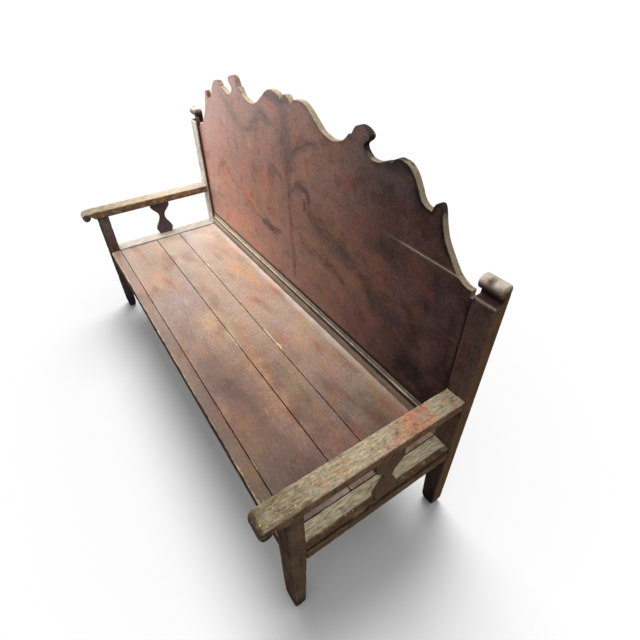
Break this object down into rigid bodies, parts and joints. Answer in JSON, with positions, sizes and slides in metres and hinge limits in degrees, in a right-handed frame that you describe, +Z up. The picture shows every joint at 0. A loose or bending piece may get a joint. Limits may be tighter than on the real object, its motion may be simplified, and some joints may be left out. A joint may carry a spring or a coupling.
{
  "type": "high-back bench",
  "caption": "Long wooden bench with a plank seat, open arms on flat balusters, and a tall plain back under a scrolled, scalloped crest",
  "frame": {"origin": "on the floor under the middle of the bench's box", "axes": "+X along the length, to the right seen from the front; +Y towards the back; +Z up"},
  "size_m": [2.1, 0.7661, 1.329],
  "materials": {
    "frame_paint": "dark brown grained paint, rubbed at the edges",
    "back_paint": "red-brown grained paint, satin",
    "seat_paint": "red-brown paint worn to the wood, satin",
    "arm_wood": "bare tan wood with traces of paint, matt",
    "rail_wood": "grey-beige bare wood, dark painted edge, matt",
    "splat_paint": "dark brown paint, satin",
    "moulding_paint": "dark brown paint rubbed on the arris",
    "raw_wood": "unpainted sawn softwood"
  },
  "bodies": {
    "root": {"post_left": "frame_paint", "post_right": "frame_paint", "leg_left": "frame_paint", "leg_right": "frame_paint", "seat_rail_rear": "frame_paint", "back_panel": "back_paint", "crest_board": "back_paint", "seat_board_front": "seat_paint", "seat_board_middle": "seat_paint", "seat_board_rear": "seat_paint", "seat_rail_front": "seat_paint", "arm_left": "arm_wood", "arm_right": "arm_wood", "seat_rail_left": "rail_wood", "seat_rail_right": "rail_wood", "splat_left": "splat_paint", "splat_right": "splat_paint", "back_moulding": "moulding_paint", "seat_bearer_left": "raw_wood", "seat_bearer_middle": "raw_wood", "seat_bearer_right": "raw_wood", "seat_cleat_left": "raw_wood", "seat_cleat_right": "raw_wood"}
  },
  "joints": []
}
